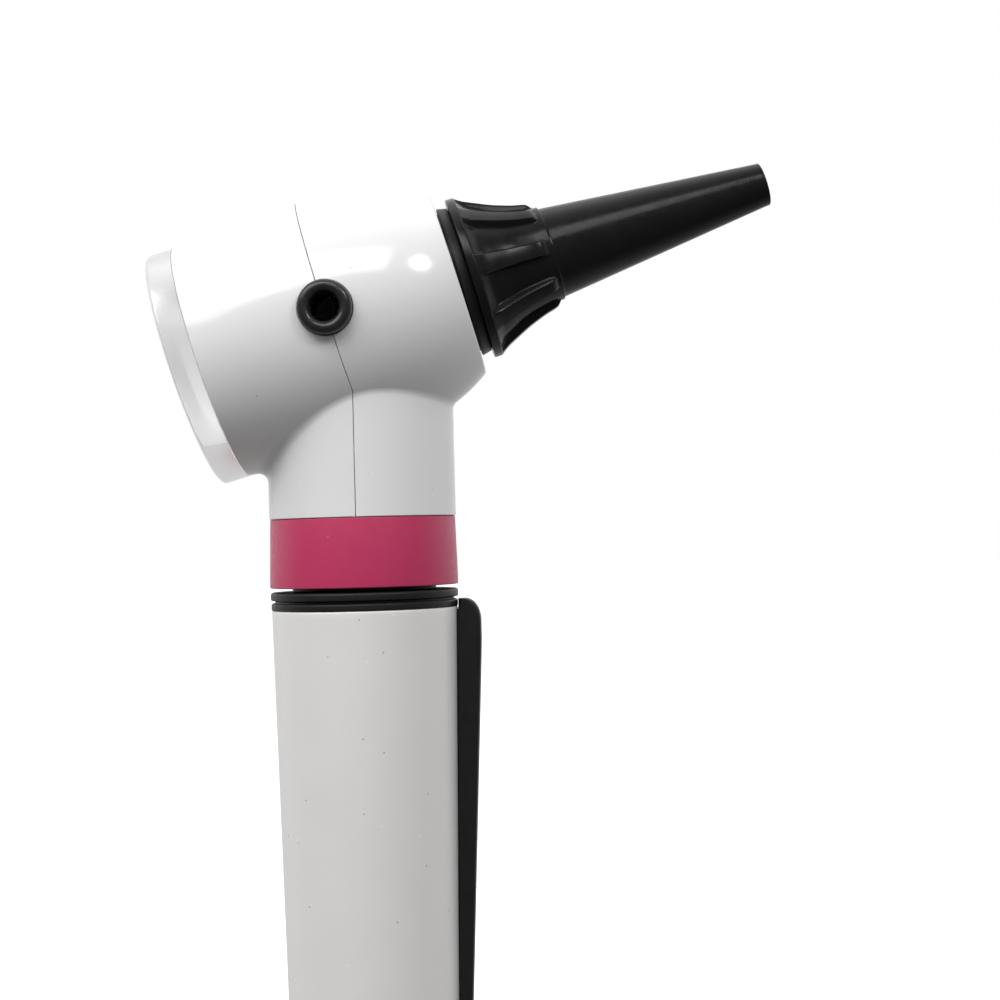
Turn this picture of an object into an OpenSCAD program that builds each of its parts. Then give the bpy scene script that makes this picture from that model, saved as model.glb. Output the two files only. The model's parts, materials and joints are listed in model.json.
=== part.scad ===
// Pocket otoscope: a battery handle with a pocket clip, a turning switch neck,
// and a plug-on head with a swing-aside magnifier and a reusable ear speculum.
// Millimetres. +Z runs up the handle from the centre of its flat end,
// +X is the way the speculum points, and +Y is the user's left.

/* [Handle] */
// Radius of the handle's straight lower grip
grip_r = 8.22; // [8.15:0.01:8.4]
// Height of the handle tube's top rim above the base
tube_top = 120; // [120:0.5:124]
// How much the handle's radius grows per millimetre towards its top
handle_flare = 0.0193; // [0.015:0.0001:0.02]
// Distance below the rim where the flare begins
flare_depth = 53; // [48:1:56]

/* [Pocket clip] */
// Width of the clip's arm
clip_w = 3.2; // [2.8:0.1:4.4]
// Length of the clip's arm below the handle's rim
clip_len = 52; // [44:1:56]
// Radius of the clip's outer face at its top, from the handle's axis
clip_top_x = 11.6; // [11.4:0.05:12]

/* [Head] */
// Angle of the barrel above the horizontal
barrel_tilt = 16.5; // [14:0.5:18]
// Height above the rim where the barrel's axis crosses the handle's
axis_h = 29.25; // [28.5:0.05:30]
// Largest radius of the barrel
barrel_max_r = 12.53; // [12.2:0.01:12.8]
// Wall thickness of the head shells
shell_wall = 1.3; // [1.1:0.05:1.5]
// Outer radius of the head's neck
neck_r = 9.3; // [9.2:0.01:9.4]

/* [Speculum] */
// Outer radius of the speculum's tip
tip_r = 2.19; // [2.1:0.01:2.5]
// Number of grip ribs round the speculum
rib_count = 8; // [6:1:10]
// Angle that one grip rib takes up
rib_angle = 20; // [14:1:24]

/* [Lens] */
// Outer radius of the magnifier
lens_r = 11.9; // [11.7:0.05:12]
// Radius of the magnifier's curved face
lens_curve_r = 49; // [45:1:60]

/* [Hidden] */
$fn = 96;
eps = 0.01;

// Colours
gloss_white = [0.93, 0.93, 0.93];
satin_white = [0.80, 0.80, 0.79];
plastic_black = [0.07, 0.07, 0.07];
rubber_black = [0.04, 0.04, 0.04];
pink = [0.71, 0.20, 0.39];
brass = [0.80, 0.64, 0.33];
steel = [0.70, 0.70, 0.72];
clear = [0.86, 0.88, 0.88, 0.5];

// Handle tube
tube_bore_r = 7.5;
tube_socket_r = 8.28;
tube_socket_depth = 7;
rim_chamfer = 0.12;
flare_blend = 6;
straight_depth = 68;

// Screw cap at the handle's foot
cap_h = 4;
cap_edge_r = 1.2;
cap_floor = 1.5;
cap_bore_r = 6.2;
spigot_r = 7.45;
spigot_top = 9.5;
flute_r = 0.55;
flute_depth = 0.25;
flute_count = 28;
seal_wire_r = 0.55;
cap_seal_z = 5.1;
cap_groove_r = 6.42;

// AA cells
cell_r = 7.2;
cell_h = 50.5;
cell_base = 10.8;
terminal_r = 2.75;
terminal_h = 1;
liner_r = 7.28;

// Switch neck, in heights above the rim
neck_foot = -7;
bearing_r = 6.35;
bearing_foot = -4;
clip_ring_r = 9.28;
clip_ring_h = 0.7;
lip_r = 8.9;
lip_top = 0.9;
flange_r = 9.33;
flange_foot = 0.97;
flange_top = 1.77;
shaft_r = 6.3;
shaft_foot = -5.6;
boss_r = 7.15;
boss_top = 9;
boss_chamfer = 0.4;
rotor_bore_r = 4.5;
key_w = 1.5;
key_depth = 0.6;
key_foot = 5.8;
circlip_z = -4.85;
circlip_h = 0.6;
circlip_groove_r = 5.7;
circlip_r = 6.8;
circlip_gap = 3;
neck_seal_z = 4;
neck_groove_r = 6.03;

// Contacts along the axis, in heights above the rim
bush_foot = -6.2;
bush_top = 8.8;
chamber_foot = -2.6;
chamber_r = 2.6;
contact_hole_r = 1.3;
rivet_foot = -8.15;
rivet_top = -2;
plunger_collar_z = 3.2;
plunger_collar_h = 1;
bush_collar_z = 4.25;
plunger_r = 1.2;
plunger_top = 9.55;
spring_wire_r = 0.28;

// Head base, in heights above the rim
ring_foot = 2.2;
ring_top = 8.97;
ring_foot_r = 9.38;
ring_top_r = 9.21;
skirt_r = 8.45;
skirt_foot = 2.3;
socket_r = 7.75;
socket_bore_r = 7.2;
socket_web_z = 10;
socket_top = 11.4;
lamp_hole_r = 4;
lamp_contact_foot = 9.6;
lamp_floor = 11.4;
lamp_base_foot = 11.9;
lamp_base_top = 15.6;
lamp_r = 2.35;
bulb_r = 1.8;
bulb_top = 17.5;
guide_r = 1.2;
guide_foot = 17.7;
guide_bend_r = 3.8;

// Barrel, in distances s along its axis from where it crosses the handle's axis
rear_s = -15.3;
front_s = 10.7;
widest_s = -4.5;
rear_curve_r = 90;
front_drop = 5.45e-4;
front_power = 3.2;
front_edge_r = 0.4;
cavity_rear_s = -13.3;
cavity_front_s = 9.2;
rear_opening_r = 9.6;
front_opening_r = 7.05;
seam_s = -2.35;
barrel_steps = 26;

// Viewing funnel
funnel_rear_s = -15;
funnel_tip_s = 20.2;
funnel_rear_r = 8.9;
funnel_tip_r = 2.42;
funnel_step_s = 8;
funnel_wall = 0.65;
nose_wall = 0.38;
fibre_gap = 0.36;

// Insufflation port
port_bore_r = 1.4;
port_stem_r = 1.9;
port_lip_r = 2.6;
port_lip_h = 1.1;
port_inner_y = 7.7;
port_s = -2.25;
port_seat_depth = 0.35;

// Lens pivot
pivot_r = 10.5;
screw_r = 0.6;
screw_head_r = 1;
screw_head_h = 0.75;
lens_front_s = -15.42;
lens_back_s = -18;
lens_rim_w = 2.3;
lens_edge_r = 0.45;

// Speculum seat
plate_r = 7.65;
plate_bevel = 0.25;
plate_top_s = 11.7;
land_r = 7.1;
land_top_s = 12.9;
spec_foot_s = 11.8;
spec_bore_r = 7.15;
spec_flange_r = 8.2;
spec_flange_top_s = 12.7;
spec_neck_s = 20.3;
tip_s = 42.8;
tip_wall = 0.34;

// Height of a handle surface's radius, at depth d below the rim
function handle_r(d) = d >= straight_depth
    ? grip_r
    : grip_r + handle_flare * flare_blend
        * ln(1 + exp((flare_depth - d) / flare_blend));

// Radius of the barrel's outer surface at s
function barrel_r(s) = s < widest_s
    ? barrel_max_r - pow(widest_s - s, 2) / (2 * rear_curve_r)
    : barrel_max_r - front_drop * pow(s - widest_s, front_power);

// Height of the flat seat under the port's lip, from the plane of symmetry
port_seat_y = barrel_r(port_s) - port_seat_depth;

// Bore radius of the viewing funnel at s, and its outer radius
function funnel_r(s) = funnel_rear_r
    + (funnel_tip_r - funnel_rear_r) * (s - funnel_rear_s) / (funnel_tip_s - funnel_rear_s);
function funnel_outer_r(s) = funnel_r(s) + (s < funnel_step_s ? funnel_wall : nose_wall);

// A point in the plane of symmetry, from barrel coordinates (s, height r) to [x, z]
function barrel_point(s, r) = [
    s * cos(barrel_tilt) - r * sin(barrel_tilt),
    tube_top + axis_h + s * sin(barrel_tilt) + r * cos(barrel_tilt)
];

// count evenly spaced values from a to b
function steps(a, b, count) = [for (i = [0 : count]) a + (b - a) * i / count];

// An arc of a circle about c, from angle a to angle b
function arc(c, r, a, b, count = 6) =
    [for (t = steps(a, b, count)) c + r * [cos(t), sin(t)]];

module on_rim() {
    translate([0, 0, tube_top]) children();
}

// Places children whose +Z runs along the barrel and whose -X points up
module on_barrel() {
    translate([0, 0, tube_top + axis_h])
        rotate([0, 90 - barrel_tilt, 0])
            children();
}

module tube(r_out, r_in, z0, z1) {
    translate([0, 0, z0])
        difference() {
            cylinder(r = r_out, h = z1 - z0);
            translate([0, 0, -1]) cylinder(r = r_in, h = z1 - z0 + 2);
        }
}

module rod(r, z0, z1) {
    translate([0, 0, z0]) cylinder(r = r, h = z1 - z0);
}

module ring_seal(ring_r, wire_r, z) {
    translate([0, 0, z])
        rotate_extrude()
            translate([ring_r, 0]) circle(r = wire_r, $fn = 32);
}

// A coil of round wire: its radius goes from r0 at z0 to r1 at z1
module coil(r0, r1, z0, z1, wire_r, turns, rings_per_turn = 18, sides = 8) {
    rings = turns * rings_per_turn;
    end_turns = 0.75;
    // The end turns lie flat, so the climb starts and stops short of the ends
    function climb(u) = min(1, max(0, (u * turns - end_turns) / (turns - 2 * end_turns)));
    function centre(i) = let (u = i / rings, a = 360 * turns * u, r = r0 + (r1 - r0) * climb(u))
        [r * cos(a), r * sin(a), z0 + wire_r + (z1 - z0 - 2 * wire_r) * climb(u)];
    points = [
        for (i = [0 : rings])
            let (c = centre(i), a = 360 * i / rings_per_turn)
                for (k = [0 : sides - 1])
                    let (t = 360 * k / sides)
                        c + wire_r * [cos(t) * cos(a), cos(t) * sin(a), sin(t)]
    ];
    walls = [
        for (i = [0 : rings - 1], k = [0 : sides - 1])
            let (n = (k + 1) % sides)
                [i * sides + k, i * sides + n, (i + 1) * sides + n, (i + 1) * sides + k]
    ];
    first = [[for (k = [sides - 1 : -1 : 0]) k]];
    last = [[for (k = [0 : sides - 1]) rings * sides + k]];
    polyhedron(points, concat(walls, first, last));
}

// ---- Handle ----

module handle_tube() {
    depths = concat([0], steps(rim_chamfer, straight_depth, 17));
    outline = concat(
        [[0, tube_top], [handle_r(0) - rim_chamfer, tube_top]],
        [for (d = depths) if (d > 0) [handle_r(d), tube_top - d]],
        [[grip_r, cap_h], [0, cap_h]]
    );
    color(satin_white)
        difference() {
            rotate_extrude() polygon(outline);
            rod(tube_bore_r, 0, tube_top + 1);
            rod(tube_socket_r, tube_top - tube_socket_depth, tube_top + 1);
        }
}

module battery_liner() {
    color(plastic_black)
        tube(tube_bore_r, liner_r, cell_base, cell_base + 2 * cell_h - terminal_h);
}

module cell(z0) {
    rim_h = 0.6;
    rim_in = 0.5;
    body_h = cell_h - terminal_h;
    color(brass)
        translate([0, 0, z0])
            rotate_extrude()
                polygon([
                    [0, 0], [cell_r - rim_in, 0], [cell_r, rim_in],
                    [cell_r, body_h - rim_in], [cell_r - rim_in, body_h],
                    [terminal_r + 1, body_h], [terminal_r + 1, body_h - rim_h],
                    [0, body_h - rim_h]
                ]);
}

module cell_terminal(z0) {
    color(steel) {
        rod(terminal_r, z0 + cell_h - terminal_h - 0.3, z0 + cell_h);
        rod(terminal_r + 1, z0 + cell_h - terminal_h - 0.6, z0 + cell_h - terminal_h - 0.3);
    }
}

module handle_neck() {
    color(plastic_black)
        on_rim()
            difference() {
                union() {
                    rod(tube_socket_r, neck_foot, clip_ring_h);
                    rod(lip_r, clip_ring_h, lip_top);
                }
                rod(bearing_r, neck_foot - 1, lip_top + 1);
                rod(tube_bore_r - 0.3, neck_foot - 1, bearing_foot);
            }
}

module clip_ring() {
    color(plastic_black)
        on_rim()
            rotate_extrude()
                polygon([
                    [tube_socket_r, 0], [clip_ring_r - 0.1, 0], [clip_ring_r, 0.15],
                    [clip_ring_r, clip_ring_h - 0.15], [clip_ring_r - 0.1, clip_ring_h],
                    [tube_socket_r, clip_ring_h]
                ]);
}

// The arm's side outline: flat against the handle, thinning towards its tip
module clip_outline() {
    clearance = 0.1;
    corner_r = 1.9;
    top_z = 0.72;
    taper = 0.0486;
    taper_top = -3.5;
    foot_r = 0.5;
    flick = 8;
    root_x = clip_ring_r + 0.08;
    lead_in = 0.35;
    foot_x = clip_top_x - taper * (clip_len + taper_top) + lead_in;
    // The inner face follows the handle, then turns away for the last few millimetres
    inner = [for (d = steps(1.2, clip_len - 5, 9)) [handle_r(d) + clearance, -d]];
    polygon(concat(
        [[root_x, top_z]],
        arc([clip_top_x - corner_r, top_z - corner_r], corner_r, 90, 0, 7),
        [
            [clip_top_x, taper_top],
            [clip_top_x - taper * (clip_len - flick + taper_top), flick - clip_len]
        ],
        arc([foot_x - foot_r, -clip_len + foot_r], foot_r, 0, -160, 7),
        [for (i = [len(inner) - 1 : -1 : 0]) inner[i]],
        [[root_x, -0.2]]
    ));
}

module pocket_clip() {
    end_r = clip_w / 2 - 0.2;
    color(plastic_black)
        on_rim()
            intersection() {
                rotate([90, 0, 0])
                    linear_extrude(height = clip_w, center = true)
                        clip_outline();
                // Face-on outline: straight sides and a round lower end
                rotate([90, 0, 90])
                    linear_extrude(height = 2 * clip_top_x)
                        union() {
                            translate([-clip_w / 2, end_r - clip_len])
                                square([clip_w, clip_len - end_r + 2]);
                            translate([0, end_r - clip_len])
                                circle(r = clip_w / 2);
                        }
            }
}

// ---- Screw cap ----

module end_cap() {
    flat_r = grip_r - cap_edge_r;
    outline = concat(
        [[0, 0]],
        arc([flat_r, cap_edge_r], cap_edge_r, -90, 0, 6),
        [
            [grip_r, cap_h - 0.25], [grip_r - 0.25, cap_h], [spigot_r, cap_h],
            [spigot_r, cap_seal_z - seal_wire_r], [cap_groove_r, cap_seal_z - seal_wire_r],
            [cap_groove_r, cap_seal_z + seal_wire_r], [spigot_r, cap_seal_z + seal_wire_r],
            [spigot_r, spigot_top - 0.3], [spigot_r - 0.3, spigot_top],
            [cap_bore_r, spigot_top], [cap_bore_r, cap_floor], [0, cap_floor]
        ]
    );
    color(plastic_black)
        difference() {
            rotate_extrude() polygon(outline);
            // Grip flutes
            for (i = [0 : flute_count - 1])
                rotate([0, 0, 360 * i / flute_count])
                    translate([grip_r + flute_r - flute_depth, 0, cap_edge_r * 0.5])
                        cylinder(r = flute_r, h = cap_h - cap_edge_r, $fn = 32);
        }
}

module end_cap_seal() {
    color(rubber_black)
        ring_seal(cap_groove_r + seal_wire_r - 0.04, seal_wire_r - 0.04, cap_seal_z);
}

module cap_contact() {
    color(brass) rod(cap_bore_r - 0.1, cap_floor, cap_floor + 0.4);
}

module cap_spring() {
    color(steel) coil(5.3, 3.2, cap_floor + 0.4, cell_base - 0.05, 0.4, 5);
}

// ---- Turning switch neck ----

module switch_rotor() {
    outline = [
        [rotor_bore_r, shaft_foot], [shaft_r - 0.3, shaft_foot], [shaft_r, shaft_foot + 0.3],
        [shaft_r, circlip_z - 0.05], [circlip_groove_r, circlip_z - 0.05],
        [circlip_groove_r, circlip_z + circlip_h + 0.05],
        [shaft_r, circlip_z + circlip_h + 0.05], [shaft_r, flange_foot],
        [flange_r - 0.12, flange_foot], [flange_r, flange_foot + 0.12],
        [flange_r, flange_top - 0.2], [flange_r - 0.2, flange_top], [boss_r, flange_top],
        [boss_r, neck_seal_z - seal_wire_r], [neck_groove_r, neck_seal_z - seal_wire_r],
        [neck_groove_r, neck_seal_z + seal_wire_r], [boss_r, neck_seal_z + seal_wire_r],
        [boss_r, boss_top - boss_chamfer], [boss_r - boss_chamfer, boss_top],
        [rotor_bore_r, boss_top]
    ];
    color(plastic_black)
        on_rim()
            difference() {
                rotate_extrude() polygon(outline);
                // Keyway that turns with the head
                translate([-boss_r - 1, -key_w / 2, key_foot - 0.1])
                    cube([key_depth + 1, key_w, boss_top]);
            }
}

module rotor_circlip() {
    color(steel)
        on_rim()
            difference() {
                tube(circlip_r, circlip_groove_r, circlip_z, circlip_z + circlip_h);
                translate([0, -circlip_gap / 2, circlip_z - 1])
                    cube([circlip_r + 1, circlip_gap, circlip_h + 2]);
            }
}

module rotor_bush() {
    color(satin_white)
        on_rim()
            difference() {
                rod(rotor_bore_r, bush_foot, bush_top);
                rod(contact_hole_r, bush_foot - 1, bush_top);
                rod(chamber_r, chamber_foot, bush_top + 1);
            }
}

module bush_collar() {
    color(plastic_black)
        on_rim() tube(chamber_r, contact_hole_r, bush_collar_z, bush_top);
}

module contact_rivet() {
    color(brass)
        on_rim()
            union() {
                rod(contact_hole_r, bush_foot - eps, chamber_foot + eps);
                rod(chamber_r, rivet_foot, bush_foot);
                rod(chamber_r - 0.2, chamber_foot, rivet_top);
            }
}

module plunger_spring() {
    color(steel)
        on_rim() coil(1.85, 1.85, rivet_top, plunger_collar_z, spring_wire_r, 6, 16, 6);
}

module contact_plunger() {
    color(brass)
        on_rim()
            rotate_extrude()
                polygon(concat(
                    [
                        [0, plunger_collar_z], [chamber_r - 0.15, plunger_collar_z],
                        [chamber_r - 0.15, plunger_collar_z + plunger_collar_h],
                        [plunger_r, plunger_collar_z + plunger_collar_h]
                    ],
                    arc([plunger_r - 0.4, plunger_top - 0.4], 0.4, 0, 90, 4),
                    [[0, plunger_top]]
                ));
}

module neck_seal() {
    color(rubber_black)
        on_rim()
            ring_seal(neck_groove_r + seal_wire_r + 0.08, seal_wire_r - 0.04, neck_seal_z);
}

// ---- Head shells ----

// Solid of the barrel: an outline turned about its axis, wall mm inside the surface
module barrel_solid(wall, s0, s1, edge_r) {
    surface_pts = [
        for (s = steps(s0, s1 - edge_r, barrel_steps)) [barrel_r(s) - wall, s]
    ];
    last_r = barrel_r(s1 - edge_r) - wall;
    edge = edge_r > 0 ? arc([last_r - edge_r, s1 - edge_r], edge_r, 0, 90, 4) : [];
    rotate_extrude()
        polygon(concat([[0, s0]], surface_pts, edge, [[0, s1]]));
}

module head_solid() {
    on_barrel() barrel_solid(0, rear_s, front_s, front_edge_r);
    on_rim() {
        rod(neck_r, ring_top, axis_h - 5);
        rod(skirt_r, skirt_foot, ring_top + 1);
    }
}

module head_cavity() {
    on_barrel() {
        barrel_solid(shell_wall, cavity_rear_s, cavity_front_s, 0);
        rod(rear_opening_r, rear_s - 1, cavity_rear_s + 1);
        rod(front_opening_r, cavity_front_s - 1, front_s + 1);
        translate([-pivot_r, 0, 0]) rod(screw_r, rear_s - 1, cavity_rear_s + 1);
    }
    on_rim() {
        rod(neck_r - shell_wall, socket_top, axis_h - 5);
        rod(socket_r, skirt_foot - 1, socket_top + eps);
    }
    port_axis() {
        rod(port_stem_r, 0, barrel_max_r + 2);
        rod(port_lip_r + 0.05, port_seat_y, barrel_max_r + 2);
    }
}

// Everything behind the parting line of the two shells
module rear_side() {
    far = 60;
    top = barrel_point(seam_s, far);
    seam_bend_r = seam_s / tan(barrel_tilt);
    bend = barrel_point(seam_s, seam_bend_r);
    rotate([90, 0, 0])
        linear_extrude(height = 2 * far, center = true)
            polygon([top, bend, [0, tube_top - 1], [-far, tube_top - 1], [-far, top[1]]]);
}

module head_shell_rear() {
    color(gloss_white)
        difference() {
            intersection() {
                head_solid();
                rear_side();
            }
            head_cavity();
        }
}

module head_shell_front() {
    color(gloss_white)
        difference() {
            head_solid();
            rear_side();
            head_cavity();
        }
}

module colour_ring() {
    edge = 0.12;
    color(pink)
        on_rim()
            rotate_extrude()
                polygon([
                    [skirt_r, ring_foot], [ring_foot_r - edge, ring_foot],
                    [ring_foot_r, ring_foot + edge], [ring_top_r, ring_top - edge],
                    [ring_top_r - edge, ring_top], [skirt_r, ring_top]
                ]);
}

module head_socket() {
    key_clearance = 0.1;
    color(steel)
        on_rim()
            union() {
                difference() {
                    rod(socket_r, skirt_foot + 0.1, socket_top);
                    rod(socket_bore_r, skirt_foot - 1, socket_web_z);
                    rod(lamp_hole_r, skirt_foot, socket_top + 1);
                }
                // Key that rides in the rotor's keyway
                translate([-socket_bore_r - 0.2, -key_w / 2 + key_clearance, key_foot])
                    cube([key_depth, key_w - 2 * key_clearance, socket_web_z - key_foot + eps]);
            }
}

// ---- Lamp and light path ----

module lamp_holder() {
    color(satin_white)
        on_rim()
            difference() {
                union() {
                    rod(lamp_hole_r, socket_web_z, socket_top);
                    rod(lamp_hole_r + 1.5, socket_top, socket_top + 0.8);
                    rod(lamp_r + 1, socket_top, lamp_base_top - 1);
                }
                rod(lamp_r + 0.05, lamp_floor, lamp_base_top);
                rod(contact_hole_r, socket_web_z - 1, lamp_floor + 1);
            }
}

module lamp_contact() {
    color(brass)
        on_rim()
            union() {
                rod(contact_hole_r, lamp_contact_foot, lamp_floor + eps);
                rod(lamp_r - 0.2, lamp_floor, lamp_base_foot);
            }
}

module lamp_base() {
    color(brass)
        on_rim()
            union() {
                rod(lamp_r, lamp_base_foot, lamp_base_top);
                rod(lamp_r + 0.9, lamp_base_top - 0.95, lamp_base_top - 0.45);
            }
}

module lamp_bulb() {
    color(clear)
        on_rim()
            rotate_extrude()
                polygon(concat(
                    [[0, lamp_base_top], [bulb_r, lamp_base_top]],
                    arc([bulb_r - 1.2, bulb_top - 1.2], 1.2, 0, 90, 6),
                    [[0, bulb_top]]
                ));
}

// A rod of bundled fibres: up from the lamp, then forward along the funnel's underside
module light_guide() {
    funnel_angle = atan((funnel_rear_r - funnel_tip_r) / (funnel_tip_s - funnel_rear_s));
    turn = 90 - barrel_tilt - funnel_angle;
    run = 8.05;
    color(plastic_black)
        on_rim()
            translate([guide_bend_r, 0, guide_foot])
                rotate([90, 0, 0])
                    union() {
                        rotate([0, 0, 180 - turn])
                            rotate_extrude(angle = turn)
                                translate([guide_bend_r, 0]) circle(r = guide_r, $fn = 40);
                        rotate([0, 0, 180 - turn])
                            translate([guide_bend_r, 0, 0])
                                rotate([90, 0, 0])
                                    cylinder(r = guide_r, h = run, $fn = 40);
                    }
}

module fibre_ring() {
    flange_s = funnel_step_s - 0.3;
    flange_out_r = front_opening_r + 0.5;
    color(clear)
        on_barrel()
            rotate_extrude()
                polygon([
                    [funnel_r(flange_s) + funnel_wall, flange_s], [flange_out_r, flange_s],
                    [flange_out_r, funnel_step_s - 0.02],
                    [funnel_outer_r(funnel_step_s) + fibre_gap, funnel_step_s - 0.02],
                    [funnel_outer_r(funnel_tip_s) + fibre_gap, funnel_tip_s],
                    [funnel_outer_r(funnel_tip_s), funnel_tip_s],
                    [funnel_outer_r(funnel_step_s), funnel_step_s],
                    [funnel_r(funnel_step_s) + funnel_wall, funnel_step_s]
                ]);
}

module viewing_funnel() {
    color(plastic_black)
        difference() {
            on_barrel()
                rotate_extrude()
                    polygon([
                        [funnel_r(funnel_rear_s), funnel_rear_s],
                        [funnel_r(funnel_rear_s) + funnel_wall, funnel_rear_s],
                        [funnel_r(funnel_step_s) + funnel_wall, funnel_step_s],
                        [funnel_outer_r(funnel_step_s), funnel_step_s],
                        [funnel_outer_r(funnel_tip_s), funnel_tip_s],
                        [funnel_r(funnel_tip_s), funnel_tip_s]
                    ]);
            port_axis() rod(port_stem_r, 0, port_inner_y + 1);
        }
}

// ---- Insufflation port ----

// Places children whose +Z points out of the head's right side, at the barrel's middle
module port_axis() {
    p = barrel_point(port_s, 0);
    translate([p[0], 0, p[1]]) rotate([90, 0, 0]) children();
}

module insufflation_port() {
    lip_top_y = port_seat_y + port_seat_depth + port_lip_h;
    round_r = 0.55;
    color(plastic_black)
        port_axis()
            rotate_extrude()
                polygon(concat(
                    [[port_bore_r, port_inner_y], [port_stem_r, port_inner_y]],
                    [[port_stem_r, port_seat_y], [port_lip_r, port_seat_y]],
                    arc([port_lip_r - round_r, lip_top_y - round_r], round_r, 0, 90, 5),
                    arc([port_bore_r + round_r, lip_top_y - round_r], round_r, 90, 180, 5)
                ));
}

// ---- Speculum seat ----

module speculum_holder() {
    function inner(s) = funnel_outer_r(s) + fibre_gap;
    nose = [
        [13.2, 6.35], [13.8, 5.94], [14.5, 5.55], [15.6, 5.05], [16.8, 4.62],
        [18, 4.3], [19, 4.1], [20, 3.88]
    ];
    color(plastic_black)
        on_barrel()
            rotate_extrude()
                polygon(concat(
                    [
                        [inner(funnel_step_s), funnel_step_s],
                        [front_opening_r, funnel_step_s], [front_opening_r, front_s],
                        [plate_r - 0.1, front_s], [plate_r, front_s + 0.1],
                        [plate_r - plate_bevel, plate_top_s],
                        [land_r, plate_top_s], [land_r, land_top_s]
                    ],
                    [for (p = nose) [p[1], p[0]]],
                    [[inner(20), 20]]
                ));
}

module holder_nut() {
    flats = 6;
    color(plastic_black)
        on_barrel()
            difference() {
                rod(front_opening_r + 1.2, funnel_step_s, cavity_front_s);
                rod(front_opening_r, funnel_step_s - 1, cavity_front_s + 1);
                for (a = [1 : flats])
                    rotate([0, 0, a * 360 / flats])
                        translate([front_opening_r + 0.7, -0.8, funnel_step_s - 1])
                            cube([2, 1.6, cavity_front_s]);
            }
}

module speculum_ribs() {
    outline = [
        [spec_flange_r - 0.4, spec_foot_s + 0.6], [spec_flange_r, spec_flange_top_s - 0.05],
        [7.82, 13.1], [7.47, 13.7], [6.87, 15], [6.42, 16], [6.05, 17], [5.72, 18],
        [5.47, 19], [5.3, 19.4], [4.9, 19.9], [4.6, 19.95], [4.6, 19], [5.1, 16.8],
        [6.1, 14.5], [6.9, 13.3]
    ];
    for (i = [0 : rib_count - 1])
        rotate([0, 0, 90 - rib_angle / 2 + 360 * i / rib_count])
            rotate_extrude(angle = rib_angle) polygon(outline);
}

module speculum() {
    cone_r = 4.58;
    core = [
        [spec_bore_r, spec_foot_s], [spec_flange_r - 0.15, spec_foot_s],
        [spec_flange_r, spec_foot_s + 0.15], [spec_flange_r, spec_flange_top_s],
        [7.55, spec_flange_top_s + 0.1], [7.1, 13.3], [6.75, 13.8], [6.4, 14.5],
        [5.85, 15.6], [5.42, 16.8], [5.12, 18], [4.92, 19], [4.8, 19.9], [4.78, spec_neck_s],
        [cone_r, spec_neck_s + 0.1], [tip_r, tip_s - 0.12], [tip_r - 0.1, tip_s]
    ];
    bore = [
        [tip_r - tip_wall + 0.06, tip_s], [tip_r - tip_wall, tip_s - 0.12],
        [4.1, 20.2], [4.35, 19], [4.55, 18], [4.87, 16.8], [5.3, 15.6], [5.8, 14.5],
        [6.2, 13.8], [6.55, 13.35], [spec_bore_r, 12.95]
    ];
    color(plastic_black)
        on_barrel()
            difference() {
                union() {
                    rotate_extrude() polygon(concat([[0, spec_foot_s]], core, [[0, tip_s]]));
                    speculum_ribs();
                }
                rotate_extrude()
                    polygon(concat(
                        [[0, tip_s + 1], [tip_r - tip_wall + 0.06, tip_s + 1]],
                        bore,
                        [[spec_bore_r, spec_foot_s - 1], [0, spec_foot_s - 1]]
                    ));
            }
}

// ---- Magnifier ----

module lens_gasket() {
    color(rubber_black)
        on_barrel()
            tube(funnel_rear_r + funnel_wall, funnel_rear_r + 0.05, rear_s, funnel_rear_s);
}

module lens() {
    face_r = lens_r - lens_rim_w;
    dome_h = lens_curve_r - sqrt(pow(lens_curve_r, 2) - pow(face_r, 2));
    dome_s = lens_back_s + 0.1;
    face = [
        for (r = steps(face_r, 0, 8))
            [r, dome_s + lens_curve_r - sqrt(pow(lens_curve_r, 2) - r * r)]
    ];
    color(clear)
        on_barrel()
            difference() {
                rotate_extrude()
                    polygon(concat(
                        [[0, lens_front_s], [lens_r - 0.15, lens_front_s]],
                        [[lens_r, lens_front_s - 0.15]],
                        arc([lens_r - lens_edge_r, lens_back_s + lens_edge_r], lens_edge_r, 0, -90),
                        [[face_r + 0.15, lens_back_s], [face_r, dome_s + dome_h - 0.1]],
                        face
                    ));
                translate([-pivot_r, 0, 0]) {
                    rod(screw_r + 0.05, lens_back_s - 1, lens_front_s + 1);
                    rod(screw_head_r + 0.08, lens_back_s - 1, lens_back_s + screw_head_h + 0.1);
                }
            }
}

module lens_screw() {
    color(steel)
        on_barrel()
            translate([-pivot_r, 0, 0])
                difference() {
                    union() {
                        rod(screw_r, lens_back_s + screw_head_h - eps, cavity_rear_s - 0.3);
                        rod(screw_head_r, lens_back_s + 0.02, lens_back_s + screw_head_h);
                    }
                    translate([-0.15, -2, lens_back_s - 1]) cube([0.3, 4, 1.35]);
                }
}

handle_tube();
battery_liner();
cell(cell_base);  // cell_lower
cell_terminal(cell_base);  // cell_lower_terminal
cell(cell_base + cell_h);  // cell_upper
cell_terminal(cell_base + cell_h);  // cell_upper_terminal
handle_neck();
clip_ring();
pocket_clip();
end_cap();
end_cap_seal();
cap_contact();
cap_spring();
switch_rotor();
rotor_circlip();
rotor_bush();
bush_collar();
contact_rivet();
plunger_spring();
neck_seal();
contact_plunger();
head_shell_rear();
head_shell_front();
colour_ring();
head_socket();
lamp_holder();
lamp_contact();
lamp_base();
lamp_bulb();
light_guide();
fibre_ring();
viewing_funnel();
insufflation_port();
speculum_holder();
holder_nut();
lens_gasket();
lens_screw();
lens();
speculum();
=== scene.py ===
"""Looks of the pocket otoscope.

Sizes are in millimetres until a mesh is made, and then in metres.
"""

import json
import math

import bpy
import numpy as np
from mathutils import Matrix, Vector
from mathutils.geometry import delaunay_2d_cdt

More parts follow.
